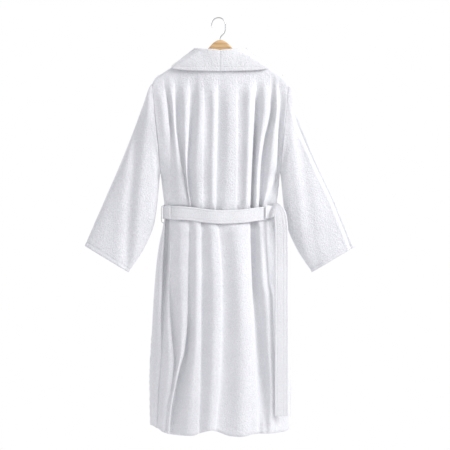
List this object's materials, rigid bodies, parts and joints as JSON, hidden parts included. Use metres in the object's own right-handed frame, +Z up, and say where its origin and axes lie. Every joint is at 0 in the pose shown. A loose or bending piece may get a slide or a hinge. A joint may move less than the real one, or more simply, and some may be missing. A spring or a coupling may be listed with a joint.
{
  "type": "bathrobe",
  "caption": "White terry bathrobe with shawl collar, wide sleeves, hip pockets and a loose belt, hung on a wooden hanger with a swivel hook.",
  "frame": {"origin": "the hang point: the inside of the hook's crown, straight above the stem", "axes": "+Z up along the stem and the robe's length, -Y towards the robe's front, +X towards the wearer's left"},
  "size_m": [0.898, 0.168, 1.3798],
  "materials": {
    "terry": "looped cotton terry",
    "collar_terry": "looped cotton terry, double, topstitched",
    "belt_terry": "folded terry, lengthwise stitched",
    "hanger_wood": "clear satin lacquer",
    "hook_steel": "plated wire"
  },
  "bodies": {
    "hook": {"hook_wire": "hook_steel", "hook_retaining_nut": "hook_steel"},
    "garment": {"hanger_body": "hanger_wood", "back_panel": "terry", "shawl_collar": "collar_terry", "front_chest_left": "terry", "front_chest_right": "terry", "lapel_left": "collar_terry", "lapel_right": "collar_terry", "belt_loop_left": "belt_terry", "belt_loop_right": "belt_terry", "belt_back_span": "belt_terry"},
    "sleeve_left": {"sleeve_left": "terry"},
    "sleeve_right": {"sleeve_right": "terry"},
    "front_left": {"front_skirt_left": "terry", "pocket_left": "terry"},
    "front_right": {"front_skirt_right": "terry", "pocket_right": "terry"},
    "belt_tail_left": {"belt_tail_left": "belt_terry"},
    "belt_tail_right": {"belt_tail_right": "belt_terry"}
  },
  "joints": [
    {"name": "hook_swivel", "type": "hinge", "parent": "hook", "child": "garment", "pos_m": [0, 0, -0.09], "axis": [0, 0, 1], "continuous": true},
    {"name": "sleeve_left_lift", "type": "hinge", "parent": "garment", "child": "sleeve_left", "pos_m": [0.224, 0, -0.224], "axis": [0, -1, 0], "range_deg": [0, 60]},
    {"name": "sleeve_right_lift", "type": "hinge", "parent": "garment", "child": "sleeve_right", "pos_m": [-0.224, 0, -0.224], "axis": [0, 1, 0], "range_deg": [0, 60]},
    {"name": "front_left_open", "type": "hinge", "parent": "garment", "child": "front_left", "pos_m": [0.228, -0.03, -0.95], "axis": [0, 0, 1], "range_deg": [0, 80], "stiffness_Nm_per_rad": 0.3},
    {"name": "front_right_open", "type": "hinge", "parent": "garment", "child": "front_right", "pos_m": [-0.228, -0.03, -0.95], "axis": [0, 0, -1], "range_deg": [0, 80], "stiffness_Nm_per_rad": 0.3},
    {"name": "belt_tail_left_swing", "type": "hinge", "parent": "front_left", "child": "belt_tail_left", "pos_m": [0.163, -0.088, -0.646], "axis": [-1, 0, 0], "range_deg": [0, 80]},
    {"name": "belt_tail_right_swing", "type": "hinge", "parent": "garment", "child": "belt_tail_right", "pos_m": [-0.201, 0.052, -0.646], "axis": [1, 0, 0], "range_deg": [0, 80]}
  ]
}
